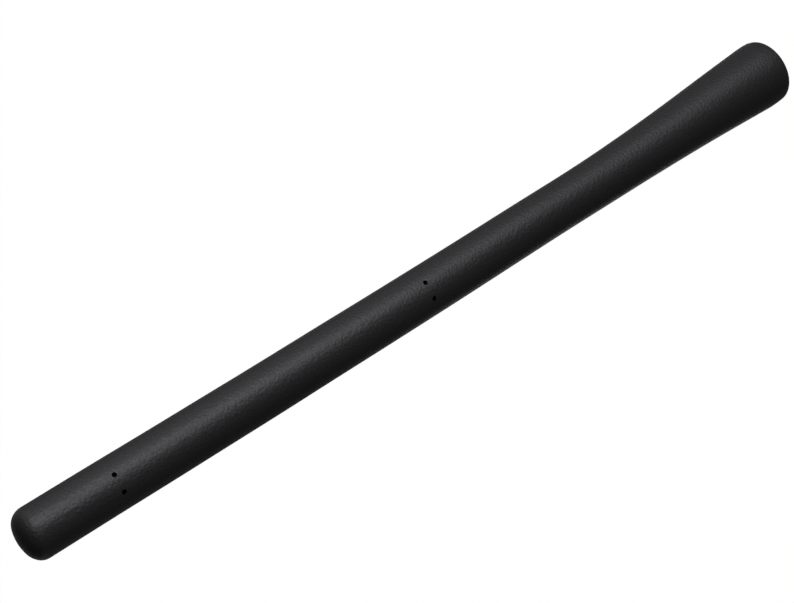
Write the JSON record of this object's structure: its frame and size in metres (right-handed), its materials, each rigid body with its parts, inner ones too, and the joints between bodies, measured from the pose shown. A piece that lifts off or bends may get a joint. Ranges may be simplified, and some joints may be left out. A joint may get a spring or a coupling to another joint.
{
  "type": "car mast aerial",
  "caption": "Short flexible mast aerial for a car: an overmoulded rubber whip with a rounded tip and a flared foot that seats over a recessed threaded stud.",
  "frame": {"origin": "on the mast's axis in the plane of the rim that seats on the aerial's base", "axes": "+Z along the mast from the rim to the tip, +Y along the mould's draw direction, across the locating-pin holes"},
  "size_m": [0.015, 0.015, 0.2],
  "materials": {
    "black_rubber": "satin, fine moulded grain",
    "glass_fibre": "ground, slightly fibrous",
    "enamelled_copper": "clear enamel over drawn copper",
    "heat_shrink": "semi-matt",
    "turned_brass": "as turned",
    "solder": "bright, flowed"
  },
  "bodies": {
    "root": {"sheath": "black_rubber", "core_rod": "glass_fibre", "antenna_wire": "enamelled_copper", "shrink_sleeve": "heat_shrink", "base_ferrule": "turned_brass", "solder_joint": "solder"}
  },
  "joints": []
}
